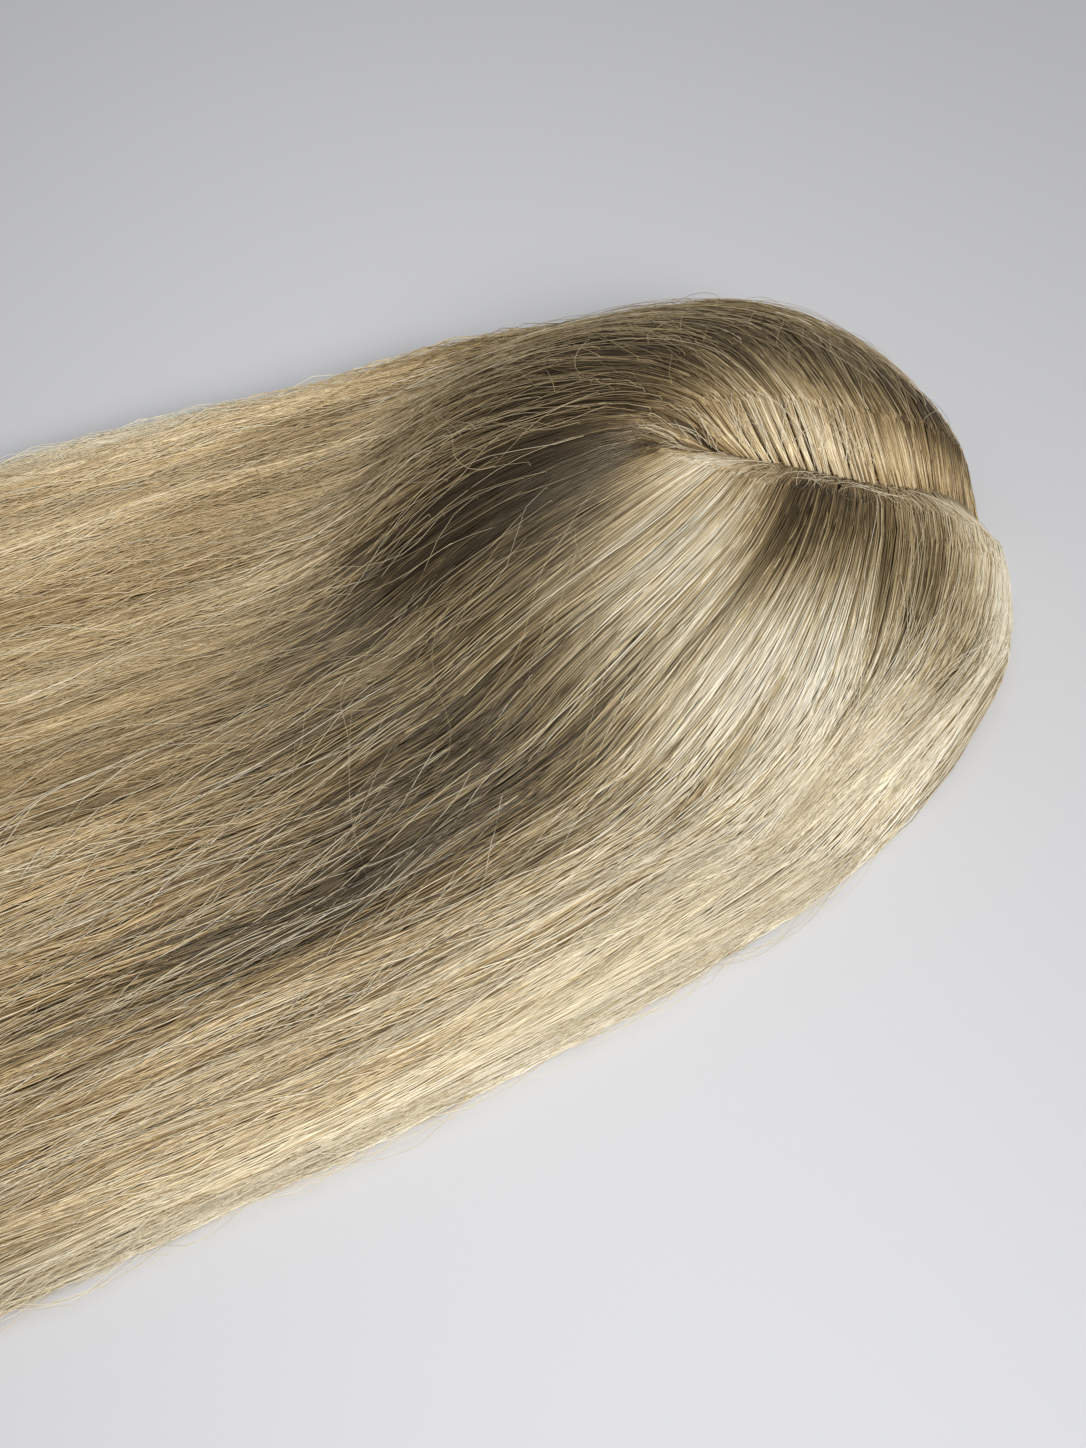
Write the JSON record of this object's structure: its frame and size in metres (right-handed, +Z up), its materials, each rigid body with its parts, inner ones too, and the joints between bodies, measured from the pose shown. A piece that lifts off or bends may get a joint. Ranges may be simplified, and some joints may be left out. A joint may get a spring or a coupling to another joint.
{
  "type": "hair topper",
  "caption": "Open dome cap with long straight hair that falls from a parting, laid flat, and snap clips inside its rim.",
  "frame": {"origin": "centre of the whole box on the table, at the level that the cap's rim and the hair rest on", "axes": "+X towards the front of the cap, along the hair's length; +Y towards the wearer's left; +Z up"},
  "size_m": [0.4706, 0.301, 0.0532],
  "materials": {
    "hair": "satin ash-blonde straight hair fibre, darker at the roots",
    "cap_cloth": "matte fine skin-toned mesh",
    "clip_metal": "satin brown lacquer"
  },
  "bodies": {
    "root": {"hair_right": "hair", "hair_back": "hair", "hair_left": "hair", "cap_base": "cap_cloth", "clip_front": "clip_metal", "clip_left": "clip_metal", "clip_back": "clip_metal", "clip_right": "clip_metal"}
  },
  "joints": []
}
